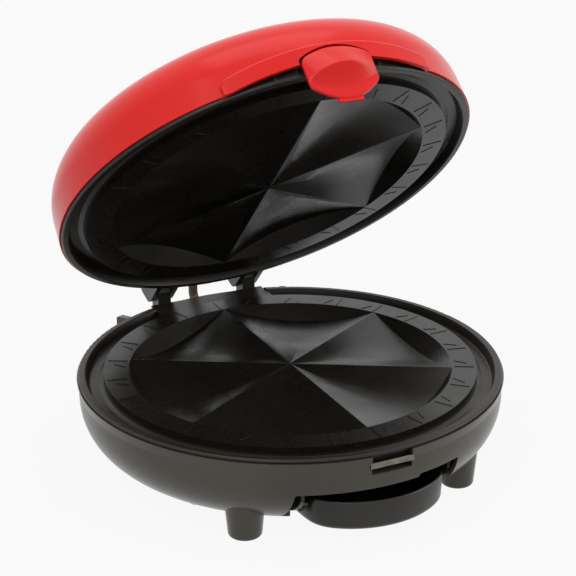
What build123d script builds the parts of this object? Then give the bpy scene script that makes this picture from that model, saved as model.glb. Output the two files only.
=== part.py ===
"""A round countertop quesadilla maker with a hinged lid.

Millimetres, +Z up, +X to the right and the front at -Y. The origin is on the table under the
centre of the cooking plates. The base is drawn where it stands. The lid, its latch and what
they hold are drawn shut, about the same centre line, and are then swung open about the hinge.
"""

from build123d import *
from math import acos, atan2, cos, degrees, hypot, radians, sin, sqrt, tan
import os

os.makedirs("parts", exist_ok=True)

# ---------------------------------------------------------------- shells
BOWL_R = 120.0  # outer radius of the bowl at its top edge
BOWL_SIDE_R = 119.0  # outer radius of the bowl's upright wall
BOWL_LEAN_H = 5.2  # height over which the wall leans out to the top edge
SEAM_Z = 52.2  # height of the bowl's top edge
BEND_Z = 41.8  # height where the bowl's wall begins to turn in
BEND_R = 32.5  # radius of the bowl's lower curve
BOWL_OPENING_R = 96.0  # radius of the opening under the bowl
BOWL_WALL = 2.5
SHELL_R = 119.9  # outer radius of the lid shell at its skirt
DOME_EDGE_R = 118.4  # radius at the corner between skirt and crown
SKIRT_H = 39.6  # height of the shell's skirt
CROWN_H = 7.7  # rise of the crown over that corner
DOME_ROUND = 30.0  # rounding of that corner
SHELL_WALL = 2.2

# ---------------------------------------------------------------- rims, at the parting plane
LIP_Z = 54.5  # top of the base's lip
LIP_GAP = 0.8  # gap between the two lips when shut
BASE_FLANGE_R = 119.2
BASE_FLANGE_H = 1.5
LID_FLANGE_R = 118.9
LID_FLANGE_H = 1.7
FLANGE_ROUND = 1.0
SEAM_GAP = 0.3  # between the lid ring's flange and the shell's skirt
LIP_IN_R = 115.1  # inner edge of the lip
CHANNEL_OUT_R = 113.6
CHANNEL_IN_R = 108.2
CHANNEL_D = 5.5  # depth of the drip channel under the lip
CHANNEL_STEP = 0.6  # rise of the channel's inner edge to the plate's seat
SHELF_R = 105.6  # outer radius of the plate's seat
RING_WALL = 2.1
RING_IN_R = 95.0
LID_SPIGOT_R = 117.2  # outer radius of the ring's spigot in its shell
SPIGOT_FIT = 0.3  # between the base ring's spigot and the bowl's wall
SPIGOT_D = 9.0
SPIGOT_WALL = 2.0

# ---------------------------------------------------------------- plates
PLATE_R = 105.0
PLATE_EDGE_H = 4.0
PLATE_GAP = 0.9  # gap between the two plates when shut
POCKETS = 6
POCKET_R = 91.0  # outer edge of the pockets
POCKET_D = 8.5  # depth of a pocket at its outer wall
RIDGE_W = 0.8  # flat on top of the ridges between the pockets
PLATE_WALL = 3.2
MARKS = 24  # scored pairs round the plate's ring
MARK_W = 0.7
MARK_H = 0.3
LONG_MARK_IN_R = 92.4
LONG_MARK_OUT_R = 103.4
SHORT_MARK_IN_R = 92.8
SHORT_MARK_OUT_R = 99.5
MARK_SHIFT = 1.0  # angle of the first long mark from the front ridge
SHORT_MARK_FOOT = 5.0  # angle between the inner ends of a pair
SHORT_MARK_TIP = 2.8  # angle between their outer ends
PLATE_BOSSES = 3
PLATE_BOSS_R = 4.5
PLATE_BOSS_AT_R = 80.0
PLATE_SCREW_BITE = 9.0

# ---------------------------------------------------------------- heating
ELEMENT_R = 62.0
ELEMENT_TUBE_R = 3.2
ELEMENT_FIT = 0.1
ELEMENT_ARC = 318.0
ELEMENT_TAIL = 11.0
ELEMENT_BOSS_W = 11.0
ELEMENT_BOSS_D = 12.3  # reach of the element's boss behind the plate's face
SENSOR_BOSS_R = 14.0
SENSOR_BOSS_D = 9.5
SHIELD_D = 17.5  # heat shield's floor behind the plate's face
SHIELD_T = 0.8
SHIELD_WALL_R = 92.0
SHIELD_RIM_R = 96.6
SHIELD_HOLE_R = 12.0
THERMOSTAT_R = 8.0
THERMOSTAT_H = 9.0
FUSE_R = 2.2
FUSE_L = 14.0
FUSE_X = 30.0
FUSE_Y = 24.0

# ---------------------------------------------------------------- hinge
PIVOT_Y = 125.2
PIVOT_Z = 72.6
LID_OPEN = 46.24  # how far the lid stands open as drawn
HINGE_X = 28.4
PIN_R = 2.0
PIN_FIT = 0.04
PIN_END = 1.0  # length of pin that shows past each outer cheek
POST_W = 8.3
POST_FRONT_Y = 117.0
POST_REAR_Y = 127.0
POST_FOOT_Z = 42.0
POST_BOSS_R = 5.5
POST_SHOULDER_Z = 61.0
CHEEK_W = 3.0
CHEEK_FIT = 0.3
CHEEK_R = 7.0
TAIL_Y = 135.5
TAIL_Z = 63.5
TAIL_R = 5.5
TAIL_TIP_Y = 140.0
TAIL_TIP_Z = 70.0
TAIL_TIP_R = 4.0
STOP_AT_R = 10.8
STOP_ANGLE = 32.5
STOP_R = 2.6
STOP_LUG_R = 4.0
ROOT_Y = 113.2
ROOT_LOW_Z = 60.8
ROOT_HIGH_Z = 72.0
ROOT_R = 2.8
NOTCH_FIT = 0.4
APRON_HALF = 37.0
APRON_FRONT_Y = 100.0
APRON_REAR_Y = 118.0
APRON_Z = 53.5
BRACKET_FOOT_Z = 40.3
BRACKET_TOP_Z = 49.0
BRACKET_FRONT_Y = 111.0
BRACKET_REAR_Y = 124.0

# ---------------------------------------------------------------- feet and bottom
FOOT_X = 64.5
FOOT_Y = 77.5
FOOT_R = 9.0  # radius of a foot at its sole
FOOT_DRAFT = 5.4
FOOT_ROUND = 2.0
FOOT_NOTCH = 1.5  # how much wider than a sole the cover's notches are
PAD_R = 5.5
PAD_T = 2.6
PAD_PROUD = 0.6
PAD_FIT = 0.1
SCREW_R = 1.6
SCREW_HEAD_R = 3.2
SCREW_HEAD_H = 2.2
SCREW_FIT = 0.2
THREAD_FIT = 0.03
BASE_SCREW_SEAT_Z = 9.0
BASE_SCREW_BITE = 9.0
RING_BOSS_R = 3.8
RING_BOSS_GAP = 0.2
COVER_Z = 9.3
COVER_T = 2.0
COVER_FIT = 0.3
COVER_ROUND = 1.0
LEDGE_W = 9.0
LEDGE_T = 3.0
COVER_SCREW_AT_R = 90.5
COVER_SCREW_ANGLE = 60.0  # of the first cover screw, from the front
COVER_SCREW_BITE = 2.6
TERMINAL_L = 26.0
TERMINAL_W = 11.0
TERMINAL_H = 13.0
TERMINAL_X = 34.0
TERMINAL_Y = 62.0

# ---------------------------------------------------------------- tray and its bay
TRAY_HALF = 38.5
TRAY_FRONT_R = 119.8
TRAY_REAR_Y = -49.0
TRAY_BOTTOM_Z = 8.8
TRAY_TOP_Z = 22.0
TRAY_DRAFT = 13.0
TRAY_CORNER_R = 12.0
TRAY_ROUND = 4.0
TRAY_WALL = 1.8
RAIL_W = 3.6
RAIL_T = 1.8
RAIL_FRONT_Y = -97.0
RAIL_FIT = 0.3
RUNNER_W = 3.0
RUNNER_T = 2.0
BAY_WALL = 2.0
BAY_ROOF_Z = 32.0
BAY_FRONT_Y = -103.0
BAY_REAR_GAP = 3.0
OPENING_LEFT_X = -49.6
OPENING_RIGHT_X = 45.0
OPENING_TOP_Z = 33.5
OPENING_STEP_X = 17.0
OPENING_STEP = 2.0
OPENING_LEAN = 1.2
OPENING_ROUND = 1.2

# ---------------------------------------------------------------- catch and latch
CATCH_HALF = 11.7
CATCH_FLOOR_Z = 42.0
CATCH_WALL = 1.5
CATCH_BACK_Y = -114.0
CATCH_BLOCK_TOP_Z = 45.2
CATCH_CLEAR_R = 115.2  # the ring stays within this behind the catch
BAR_Y = -117.4
BAR_Z = 46.75
BAR_R = 2.1
BAR_FIT = 0.05
BROW_HALF = 58.4
BROW_PROUD = 2.5
BROW_TOP_H = 16.0  # top of the brow over the lid's lip, at the centre
BROW_END_H = 9.6  # the same at its ends
BROW_CORNER_R = 4.5
BROW_MOUTH_HALF = 55.0
BROW_MOUTH_H = 5.8  # the brow's lower edge at the centre
BROW_MOUTH_END_H = 1.2
BROW_ROUND = 1.5
RIB_ANGLES = (-15.7, 13.2)  # round ribs on the ring's wall under the brow
RIB_R = 1.4
LEVER_HALF = 19.4
LEVER_TOP_H = 12.8
LEVER_SHOULDER_H = 7.2
LEVER_SHOULDER_R = 3.0
LEVER_GAP = 1.0  # over the lever, which rises a little when pulled
LEVER_SIDE_GAP = 0.5
LEVER_BACK_Y = -120.8
LEVER_TOP_Y = -122.4
LEVER_RIDGE_Y = -129.0
LEVER_RIDGE_H = -0.2
LEVER_SIDE_Y = -122.0
LEVER_SIDE_H = -9.0
LEVER_BOTTOM_H = -17.9
LEVER_FLAP_T = 1.7
LEVER_SCOOP_SLOPE = 35.0
LEVER_SCOOP_R = 6.0
TAB_HALF = 6.8
TAB_H = 1.5
HOOK_TIP_Y = -116.4
HOOK_H = 2.1
HOOK_GAP = 0.25
LATCH_PIN_Y = -118.0
LATCH_PIN_H = 6.0
LATCH_PIN_R = 1.5
LATCH_BOSS_R = 2.7
LATCH_BOSS_HALF = 15.5
LATCH_BOSS_W = 3.5
LATCH_LUG_R = 2.3
LATCH_LUG_W = 2.6
LATCH_SIDE_GAP = 0.3
LATCH_CLEAR_R = 115.0
SPRING_HALF = 5.0
SPRING_R = 2.4
SPRING_WIRE_R = 0.45
SPRING_FIT = 0.1
SPRING_LEG = 5.0

# ---------------------------------------------------------------- lid fixing
LID_SCREW_ANGLES = (40.0, 140.0, 220.0, 320.0)
LID_SCREW_AT_R = 101.2
LID_SCREW_BITE = 9.0
LID_SCREW_SINK = 2.5
LID_BOSS_R = 3.8
SINK_BOSS_R = 4.3

# ---------------------------------------------------------------- wire guard, bushes, ears
GUARD_X = -0.5
GUARD_R = 2.85
GUARD_BASE_Z = 44.8
GUARD_START_Y = 117.0
GUARD_BEND_Y = 138.0
GUARD_LID_Y = 117.0
GUARD_LID_Z = 75.0
GUARD_LID_RUN = 23.5
GUARD_BASE_BEND = 8.0
GUARD_LID_BEND = 18.0
GUARD_FIT = 0.05
GUARD_PLAY = 0.3
BUSH_WALL = 0.8
BUSH_FLANGE = 0.5
BUSH_FLANGE_T = 1.0
CORD_BUSH_Z = 29.0
CORD_BUSH_R = 5.5
CORD_HOLE_R = 2.4
CORD_BUSH_OUT = 9.0
CORD_BUSH_FLANGE = 1.5
CORD_FLANGE_OFF = 0.8  # of the flange's back from the bowl, at the middle
EAR_ANGLE = 156.0
EAR_W = 4.0
EAR_TIP_R = 136.8
EAR_TOP_Z = 50.0
EAR_TIP_Z = 48.0
EAR_TIP_FOOT_Z = 40.0
EAR_FOOT_Z = 30.0

# ---------------------------------------------------------------- worked out from the above
LID_LIP_Z = LIP_Z + LIP_GAP
PLATE_Z = LIP_Z + (LIP_GAP - PLATE_GAP) / 2
LID_PLATE_Z = PLATE_Z + PLATE_GAP
SEAT_D = PLATE_EDGE_H + (PLATE_GAP - LIP_GAP) / 2
SKIRT_Z = LID_LIP_Z + LID_FLANGE_H + SEAM_GAP
HINGE = Axis((0, PIVOT_Y, PIVOT_Z), (1, 0, 0))
CHEEK_X = POST_W / 2 + CHEEK_FIT + CHEEK_W / 2
BEND_CENTRE_R = BOWL_SIDE_R - BEND_R
BRACKET_W = 2 * HINGE_X + POST_W
RUNNER_OUT_X = TRAY_HALF + RAIL_W + RAIL_FIT
UP, DOWN = 1, -1
SITTING = (Align.CENTER, Align.CENTER, Align.MIN)


def swung_open(piece):
    """A finished piece of the lid, moved from shut to the lid's open place."""
    return piece.part.rotate(HINGE, -LID_OPEN)


def write(piece, name):
    """Name a finished piece and write it out."""
    piece.part.label = name
    export_step(piece.part, f"parts/{name}.step")


def at_angle(radius, angle):
    """Point at a radius and an angle counted from the front, towards +X."""
    return (radius * sin(radians(angle)), -radius * cos(radians(angle)))


def bowl_height(radius, inset=0.0):
    """Height of the bowl's lower curve at a radius."""
    return BEND_Z - sqrt((BEND_R - inset) ** 2 - (radius - BEND_CENTRE_R) ** 2)


def bowl_r_at(height):
    """Outer radius of the bowl's lower curve at a height."""
    return BEND_CENTRE_R + sqrt(BEND_R**2 - (BEND_Z - height) ** 2)


# ================================================================ shared sections
def bowl_section(inset, foot_z=None):
    """Half section of all that lies inside the bowl's skin, drawn in by `inset`."""
    radius = BEND_R - inset
    turn = degrees(acos((BOWL_OPENING_R - BEND_CENTRE_R) / radius))
    with BuildSketch(Plane.XZ) as section:
        with BuildLine():
            wall = Polyline(
                (0, SEAM_Z),
                (BOWL_R - inset, SEAM_Z),
                (BOWL_SIDE_R - inset, SEAM_Z - BOWL_LEAN_H),
                (BOWL_SIDE_R - inset, BEND_Z),
            )
            CenterArc((BEND_CENTRE_R, BEND_Z), radius, 0, -turn)
            heel = (BOWL_OPENING_R, bowl_height(BOWL_OPENING_R, inset))
            if foot_z is None:
                Polyline(heel, (0, heel[1]), wall @ 0)
            else:
                Polyline(heel, (BOWL_OPENING_R, foot_z), (0, foot_z), wall @ 0)
        make_face()
    return section.sketch


def dome_section(inset):
    """Half section of all that lies inside the lid shell's skin, drawn in by `inset`."""
    corner = (DOME_EDGE_R - inset, SKIRT_Z + SKIRT_H - inset)
    crown = (0, SKIRT_Z + SKIRT_H + CROWN_H - inset)
    crown_r = (corner[0] ** 2 + CROWN_H**2) / (2 * CROWN_H)
    with BuildSketch(Plane.XZ) as section:
        with BuildLine():
            Polyline(crown, (0, SKIRT_Z), (SHELL_R - inset, SKIRT_Z), corner)
            RadiusArc(corner, crown, -crown_r)
        make_face()
        fillet(section.vertices().sort_by_distance(corner)[0], DOME_ROUND - inset)
    return section.sketch


def ring_section(lip_z, way, flange_r, flange_h, spigot_r):
    """Section of a rim ring: lip, channel, plate's seat and spigot, `way` up or down."""
    points = [
        (flange_r, flange_h),
        (flange_r, 0),
        (LIP_IN_R, 0),
        (CHANNEL_OUT_R, CHANNEL_D),
        (CHANNEL_IN_R, CHANNEL_D),
        (SHELF_R, SEAT_D + CHANNEL_STEP),
        (SHELF_R, SEAT_D),
        (RING_IN_R, SEAT_D),
        (RING_IN_R, SEAT_D + RING_WALL),
        (SHELF_R, SEAT_D + RING_WALL),
        (CHANNEL_IN_R, CHANNEL_D + RING_WALL),
        (spigot_r - SPIGOT_WALL, CHANNEL_D + RING_WALL),
        (spigot_r - SPIGOT_WALL, SPIGOT_D),
        (spigot_r, SPIGOT_D),
        (spigot_r, flange_h),
    ]
    radii = [0, FLANGE_ROUND, 0.6, 1.2, 1.4] + [0] * 10
    with BuildSketch(Plane.XZ) as section:
        with BuildLine():
            places = [(r, lip_z + way * depth) for r, depth in points]
            FilletPolyline(*places, radius=radii, close=True)
        make_face()
    return section.sketch


def hull_of(*circles):
    """Side view (Y, Z) of a lug: the outline drawn tight round circles (y, z, radius)."""
    with BuildSketch(Plane.YZ) as outline:
        for y, z, radius in circles:
            with Locations((y, z)):
                Circle(radius)
        make_hull()
    return outline.sketch


def screws(places, seat_z, way, length):
    """Pan head screws whose heads sit on a level face, their shanks pointing `way`."""
    with BuildPart() as group:
        with BuildSketch(Plane.XY.offset(seat_z)):
            with Locations(*places):
                Circle(SCREW_R)
        extrude(amount=way * length)
        with BuildSketch(Plane.XY.offset(seat_z)):
            with Locations(*places):
                Circle(SCREW_HEAD_R)
        extrude(amount=-way * SCREW_HEAD_H)
    return group


# ================================================================ cooking plates
def pocket_tool(swell=0.0):
    """One pocket of the lower plate, or the outside of its wall, `swell` larger.

    The floor is part of a cone. Its tip lies at the plate's centre and it is tilted so that
    it meets the plate's face along both ridges: cos(tilt + sag) = cos(half) * cos(tilt).
    The outer wall is a 45 degree cone about the plate's centre.
    """
    half = radians(180 / POCKETS)
    sag = atan2(POCKET_D, POCKET_R - POCKET_D)
    tilt = atan2(cos(sag) - cos(half), sin(sag))
    out = Vector(sin(half), -cos(half), 0)
    tip_r = RIDGE_W / 2 / sin(half) if swell == 0 else 0
    tip = out * tip_r + Vector(0, 0, PLATE_Z - swell)
    axis = out * cos(tilt) + Vector(0, 0, sin(tilt))
    with BuildPart(Plane(tip, z_dir=axis)) as cone:
        Cone(0, BOWL_R * tan(tilt + sag), BOWL_R, align=SITTING)
    mouth_r = POCKET_R + swell * sqrt(2)
    near = 1.0 if swell else -1.0
    deep = POCKET_D + swell + 1
    with BuildPart() as tool:
        with BuildSketch(Plane.XZ):
            with BuildLine():
                Polyline(
                    (0, PLATE_Z - near),
                    (mouth_r - near, PLATE_Z - near),
                    (mouth_r - deep, PLATE_Z - deep),
                    (0, PLATE_Z - deep),
                    close=True,
                )
            make_face()
        revolve(axis=Axis.Z)
        add(cone.part, mode=Mode.INTERSECT)
    return tool.part


def marks_sketch():
    """The scored pairs round a plate: long radial bars, each with a short slanted one."""
    long_l = LONG_MARK_OUT_R - LONG_MARK_IN_R
    long_r = (LONG_MARK_OUT_R + LONG_MARK_IN_R) / 2
    foot = Vector(*at_angle(SHORT_MARK_IN_R, 90 + SHORT_MARK_FOOT))
    tip = Vector(*at_angle(SHORT_MARK_OUT_R, 90 + SHORT_MARK_TIP))
    middle = (foot + tip) / 2
    short_at = degrees(atan2(middle.Y, middle.X))
    slant = degrees(atan2(tip.Y - foot.Y, tip.X - foot.X)) - short_at
    start = MARK_SHIFT - 90
    with BuildSketch(Plane.XY.offset(PLATE_Z)) as marks:
        with PolarLocations(long_r, MARKS, start):
            Rectangle(long_l, MARK_W)
        with PolarLocations(middle.length, MARKS, start + short_at):
            Rectangle((tip - foot).length, MARK_W, rotation=slant)
    return marks.sketch


SCREW_PLACES = [at_angle(PLATE_BOSS_AT_R, 360 / PLATE_BOSSES * k) for k in range(PLATE_BOSSES)]
PLATE_BACK = Plane.XY.offset(PLATE_Z - PLATE_EDGE_H / 2)
SHIELD_PLANE = Plane.XY.offset(PLATE_Z - SHIELD_D)
SHIELD_UNDER_Z = PLATE_Z - SHIELD_D - SHIELD_T
ELEMENT_Z = PLATE_Z - ELEMENT_BOSS_D

cup = pocket_tool(PLATE_WALL)
pocket = pocket_tool()
with BuildPart() as lower_plate:
    with BuildSketch(Plane.XY.offset(PLATE_Z)):
        Circle(PLATE_R)
    extrude(amount=-PLATE_EDGE_H)
    with PolarLocations(0, POCKETS):
        add(cup)
    # bosses on the back: the element's ring, the sensor's seat and the screw posts
    with BuildSketch(PLATE_BACK):
        Circle(ELEMENT_R + ELEMENT_BOSS_W / 2)
        Circle(ELEMENT_R - ELEMENT_BOSS_W / 2, mode=Mode.SUBTRACT)
    extrude(amount=PLATE_EDGE_H / 2 - ELEMENT_BOSS_D)
    with BuildSketch(PLATE_BACK):
        Circle(SENSOR_BOSS_R)
    extrude(amount=PLATE_EDGE_H / 2 - SENSOR_BOSS_D)
    with BuildSketch(PLATE_BACK):
        with Locations(*SCREW_PLACES):
            Circle(PLATE_BOSS_R)
    extrude(amount=PLATE_EDGE_H / 2 - SHIELD_D)
    with PolarLocations(0, POCKETS):
        add(pocket, mode=Mode.SUBTRACT)
    # the groove that the element is pressed into, open at the rear for its tails
    with BuildSketch(Plane.XZ):
        with Locations((ELEMENT_R, ELEMENT_Z)):
            Circle(ELEMENT_TUBE_R + ELEMENT_FIT)
    revolve(axis=Axis.Z, mode=Mode.SUBTRACT)
    gap_half = ELEMENT_R * sin(radians((360 - ELEMENT_ARC) / 2)) + ELEMENT_TUBE_R
    with BuildSketch(Plane.XY.offset(ELEMENT_Z + ELEMENT_TUBE_R + ELEMENT_FIT)):
        with Locations((0, ELEMENT_R)):
            Rectangle(2 * gap_half, ELEMENT_BOSS_W + 2 * ELEMENT_TUBE_R)
    extrude(amount=-ELEMENT_BOSS_D, mode=Mode.SUBTRACT)
    with BuildSketch(SHIELD_PLANE):
        with Locations(*SCREW_PLACES):
            Circle(SCREW_R + THREAD_FIT)
    extrude(amount=PLATE_SCREW_BITE + 1, mode=Mode.SUBTRACT)
    extrude(marks_sketch(), amount=MARK_H)
write(lower_plate, "lower_plate")

with BuildPart() as lower_heating_element:
    with BuildSketch(Plane.XZ.rotated((0, 0, 90 + (360 - ELEMENT_ARC) / 2))):
        with Locations((ELEMENT_R, ELEMENT_Z)):
            Circle(ELEMENT_TUBE_R)
    revolve(axis=Axis.Z, revolution_arc=ELEMENT_ARC)
    extrude(lower_heating_element.faces().filter_by(GeomType.PLANE), amount=ELEMENT_TAIL)
write(lower_heating_element, "lower_heating_element")

RING_UNDER_Z = LIP_Z - SEAT_D - RING_WALL
with BuildPart() as lower_heat_shield:
    with BuildSketch(Plane.XZ):
        with BuildLine():
            Polyline(
                (SHIELD_HOLE_R, SHIELD_UNDER_Z + SHIELD_T),
                (SHIELD_WALL_R, SHIELD_UNDER_Z + SHIELD_T),
                (SHIELD_WALL_R, RING_UNDER_Z),
                (SHIELD_RIM_R, RING_UNDER_Z),
                (SHIELD_RIM_R, RING_UNDER_Z - SHIELD_T),
                (SHIELD_WALL_R + SHIELD_T, RING_UNDER_Z - SHIELD_T),
                (SHIELD_WALL_R + SHIELD_T, SHIELD_UNDER_Z),
                (SHIELD_HOLE_R, SHIELD_UNDER_Z),
                close=True,
            )
        make_face()
    revolve(axis=Axis.Z)
    with BuildSketch(SHIELD_PLANE.offset(SHIELD_T)):
        with Locations(*SCREW_PLACES):
            Circle(SCREW_R + SCREW_FIT)
    extrude(amount=-3 * SHIELD_T, mode=Mode.SUBTRACT)
write(lower_heat_shield, "lower_heat_shield")

lower_plate_screws = screws(SCREW_PLACES, SHIELD_UNDER_Z, UP, SHIELD_T + PLATE_SCREW_BITE)
write(lower_plate_screws, "lower_plate_screws")

with BuildPart() as thermostat:
    with BuildSketch(Plane.XY.offset(PLATE_Z - SENSOR_BOSS_D)):
        Circle(THERMOSTAT_R)
    extrude(amount=-THERMOSTAT_H)
write(thermostat, "thermostat")

with BuildPart() as thermal_fuse:
    with Locations((FUSE_X, FUSE_Y, SHIELD_UNDER_Z - FUSE_R)):
        Cylinder(FUSE_R, FUSE_L, rotation=(0, 90, 0))
write(thermal_fuse, "thermal_fuse")

# ================================================================ base: the bowl
FEET = [(x * FOOT_X, y * FOOT_Y) for x in (-1, 1) for y in (-1, 1)]
COVER_SCREWS = [
    at_angle(COVER_SCREW_AT_R, angle)
    for angle in (COVER_SCREW_ANGLE, 180 - COVER_SCREW_ANGLE, 180 + COVER_SCREW_ANGLE, -COVER_SCREW_ANGLE)
]
GUARD_BORE = Plane((GUARD_X, 0, GUARD_BASE_Z), x_dir=(1, 0, 0), z_dir=(0, 1, 0))
CORD_BORE = Plane((0, 0, CORD_BUSH_Z), x_dir=(1, 0, 0), z_dir=(0, 1, 0))

with BuildPart() as base_bowl:
    revolve(bowl_section(0), axis=Axis.Z)
    # rear ears, upright blades that stand out radially
    for angle in (-EAR_ANGLE, EAR_ANGLE):
        blade = Plane((0, 0, 0), x_dir=(*at_angle(1, angle), 0), z_dir=(*at_angle(1, angle - 90), 0))
        with BuildSketch(blade):
            with BuildLine():
                FilletPolyline(
                    (BOWL_SIDE_R - BOWL_WALL, EAR_TOP_Z),
                    (EAR_TIP_R, EAR_TIP_Z),
                    (EAR_TIP_R, EAR_TIP_FOOT_Z),
                    (BOWL_SIDE_R - BOWL_WALL, EAR_FOOT_Z),
                    radius=[0, 1.5, 2.0, 0],
                    close=True,
                )
            make_face()
        extrude(amount=EAR_W / 2, both=True)
    revolve(bowl_section(BOWL_WALL, COVER_Z), axis=Axis.Z, mode=Mode.SUBTRACT)
    # ledge that the bottom cover is screwed to
    with BuildSketch(Plane.XY.offset(COVER_Z + COVER_T)):
        Circle(BOWL_OPENING_R + BOWL_WALL / 2)
        Circle(BOWL_OPENING_R - LEDGE_W, mode=Mode.SUBTRACT)
    extrude(amount=LEDGE_T)
    # mouth of the tray's bay
    with BuildSketch(Plane.XZ):
        with BuildLine():
            FilletPolyline(
                (OPENING_LEFT_X - OPENING_LEAN, COVER_Z - 1),
                (OPENING_LEFT_X, OPENING_TOP_Z),
                (OPENING_STEP_X, OPENING_TOP_Z),
                (OPENING_STEP_X + OPENING_STEP / 2, OPENING_TOP_Z + OPENING_STEP),
                (OPENING_RIGHT_X, OPENING_TOP_Z + OPENING_STEP),
                (OPENING_RIGHT_X, COVER_Z - 1),
                radius=[0, OPENING_ROUND, 0.8, 0.8, OPENING_ROUND, 0],
                close=True,
            )
        make_face()
    extrude(amount=BOWL_R + 5, mode=Mode.SUBTRACT)
    # pocket of the catch
    with BuildSketch(Plane.XY.offset(CATCH_FLOOR_Z - CATCH_WALL)):
        with Locations((0, CATCH_BACK_Y + CATCH_WALL)):
            Rectangle(
                2 * (CATCH_HALF + CATCH_WALL),
                BOWL_SIDE_R - BOWL_WALL / 2 + CATCH_BACK_Y + CATCH_WALL,
                align=(Align.CENTER, Align.MAX),
            )
    extrude(amount=CATCH_BLOCK_TOP_Z - CATCH_FLOOR_Z + CATCH_WALL)
    cheek_at = CATCH_HALF + CATCH_WALL / 2
    with BuildSketch(Plane.XY.offset(CATCH_FLOOR_Z)):
        with Locations((-cheek_at, -CATCH_CLEAR_R), (cheek_at, -CATCH_CLEAR_R)):
            Rectangle(
                CATCH_WALL,
                BOWL_SIDE_R - BOWL_WALL / 2 - CATCH_CLEAR_R,
                align=(Align.CENTER, Align.MAX),
            )
    extrude(amount=SEAM_Z - NOTCH_FIT - CATCH_FLOOR_Z)
    with BuildSketch(Plane.XY.offset(CATCH_FLOOR_Z)):
        with Locations((0, CATCH_BACK_Y)):
            Rectangle(2 * CATCH_HALF, BOWL_R, align=(Align.CENTER, Align.MAX))
    extrude(amount=SEAM_Z, mode=Mode.SUBTRACT)
    with Locations((0, BAR_Y, BAR_Z)):
        Cylinder(
            BAR_R + BAR_FIT,
            2 * (CATCH_HALF + CATCH_WALL) - 0.8,
            rotation=(0, 90, 0),
            mode=Mode.SUBTRACT,
        )
    # rear notch for the hinge bracket, screw holes and the cord's hole
    with BuildSketch(Plane.XY.offset(BRACKET_FOOT_Z - NOTCH_FIT)):
        with Locations((0, APRON_FRONT_Y)):
            Rectangle(BRACKET_W + 2 * NOTCH_FIT, BOWL_R, align=(Align.CENTER, Align.MIN))
    extrude(amount=SEAM_Z, mode=Mode.SUBTRACT)
    with BuildSketch():
        with Locations(*FEET):
            Circle(SCREW_R + SCREW_FIT)
        with Locations(*COVER_SCREWS):
            Circle(SCREW_R + THREAD_FIT)
    extrude(amount=BEND_Z - BOWL_WALL, mode=Mode.SUBTRACT)
    with BuildSketch(CORD_BORE):
        Circle(CORD_BUSH_R + PAD_FIT)
    extrude(amount=BOWL_R, mode=Mode.SUBTRACT)
    with BuildSketch(CORD_BORE.offset(bowl_r_at(CORD_BUSH_Z) + CORD_FLANGE_OFF)):
        Circle(CORD_BUSH_R + CORD_BUSH_FLANGE + PAD_FIT)
    extrude(amount=2 * BOWL_WALL, mode=Mode.SUBTRACT)
write(base_bowl, "base_bowl")

with BuildPart() as catch_bar:
    with Locations((0, BAR_Y, BAR_Z)):
        Cylinder(BAR_R, 2 * (CATCH_HALF + CATCH_WALL) - 1, rotation=(0, 90, 0))
    chamfer(catch_bar.edges(), 0.3)
write(catch_bar, "catch_bar")

with BuildPart() as cord_bushing:
    with BuildSketch(CORD_BORE):
        Circle(CORD_BUSH_R)
    extrude(amount=bowl_r_at(CORD_BUSH_Z) + CORD_BUSH_OUT)
    fillet(cord_bushing.edges().group_by(Axis.Y)[-1], 1.5)
    with BuildSketch(CORD_BORE.offset(bowl_r_at(CORD_BUSH_Z) + CORD_FLANGE_OFF)):
        Circle(CORD_BUSH_R + CORD_BUSH_FLANGE)
    extrude(amount=2.0)
    with BuildSketch(CORD_BORE):
        Rectangle(BOWL_R, BOWL_R)
    extrude(amount=bowl_r_at(CORD_BUSH_Z) - 3 * BOWL_WALL, mode=Mode.SUBTRACT)
    with BuildSketch(CORD_BORE):
        Circle(CORD_HOLE_R)
    extrude(amount=2 * BOWL_R, mode=Mode.SUBTRACT)
write(cord_bushing, "cord_bushing")

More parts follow.
